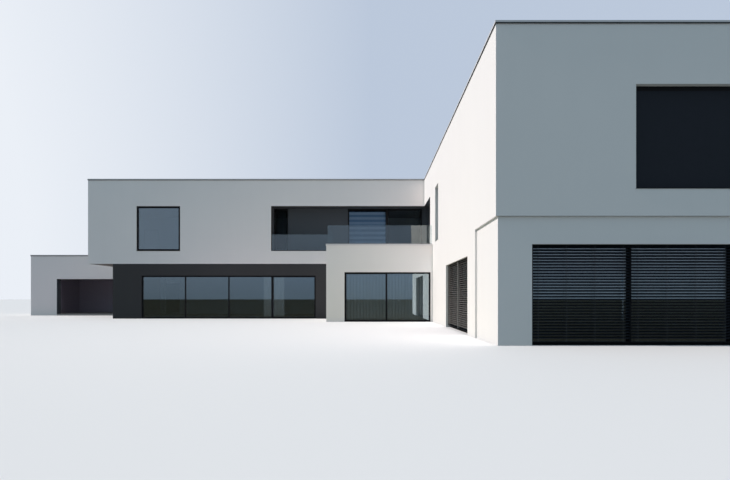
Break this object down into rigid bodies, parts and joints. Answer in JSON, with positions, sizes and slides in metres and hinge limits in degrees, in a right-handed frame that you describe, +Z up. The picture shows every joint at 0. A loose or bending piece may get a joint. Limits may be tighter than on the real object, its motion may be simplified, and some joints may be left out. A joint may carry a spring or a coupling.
{
  "type": "modern detached house",
  "caption": "Flat-roofed two-storey detached house with a long cantilevered upper storey, a projecting wing, a garden room with roof terrace, and sliding glass doors.",
  "frame": {"origin": "centre of the plan's bounding box, on the ground", "axes": "+X to the right seen from the garden, +Y towards the rear, +Z up; the garden front faces -Y"},
  "size_m": [35.334, 27, 8.06],
  "materials": {
    "white_render": "fine mineral render, matte",
    "anthracite_render": "fine mineral render, matte",
    "floor": "smooth screed, matte",
    "roofing": "gravel on a flat roof",
    "coping_metal": "folded sheet, satin",
    "frame_metal": "powder coated, satin",
    "window_glass": "insulating glass",
    "rail_glass": "laminated glass",
    "blind_metal": "coated slats, satin",
    "screen_fabric": "coated screen fabric",
    "banded_fabric": "banded translucent fabric",
    "curtain_fabric": "sheer voile"
  },
  "bodies": {
    "house": {"ground_floor": "floor", "side_floor": "floor", "upper_floor": "floor", "main_roof": "roofing", "garden_roof": "roofing", "side_roof": "roofing", "living_piers": "anthracite_render", "living_lintel": "anthracite_render", "main_left_wall": "anthracite_render", "main_rear_wall": "anthracite_render", "wing_front_lower_wall": "white_render", "wing_west_lower_wall": "white_render", "wing_east_wall": "white_render", "wing_rear_wall": "white_render", "garden_piers": "white_render", "garden_lintel": "white_render", "garden_side_wall": "white_render", "side_front_wall": "white_render", "side_outer_walls": "white_render", "side_lining": "anthracite_render", "inner_walls": "white_render", "bar_front_wall": "white_render", "bar_left_wall": "white_render", "bar_rear_wall": "white_render", "wing_front_upper_wall": "white_render", "wing_west_upper_wall": "white_render", "loggia_parapet": "white_render", "loggia_back_wall": "anthracite_render", "loggia_ceiling": "anthracite_render", "copings": "coping_metal", "glass_rails": "rail_glass", "living_frame": "frame_metal", "garden_frame": "frame_metal", "ground_frames": "frame_metal", "upper_frames": "frame_metal", "ground_glass": "window_glass", "upper_glass": "window_glass", "slat_blinds": "blind_metal", "upper_screen": "screen_fabric", "banded_blind": "banded_fabric", "curtains": "curtain_fabric"},
    "living_door": {"living_leaf": "frame_metal", "living_leaf_glass": "window_glass"},
    "garden_door": {"garden_leaf": "frame_metal", "garden_leaf_glass": "window_glass"}
  },
  "joints": [
    {"name": "living_door_slide", "type": "slide", "parent": "house", "child": "living_door", "axis": [-1, 0, 0], "range_m": [0, 2.4]},
    {"name": "garden_door_slide", "type": "slide", "parent": "house", "child": "garden_door", "axis": [1, 0, 0], "range_m": [0, 2.02]}
  ]
}
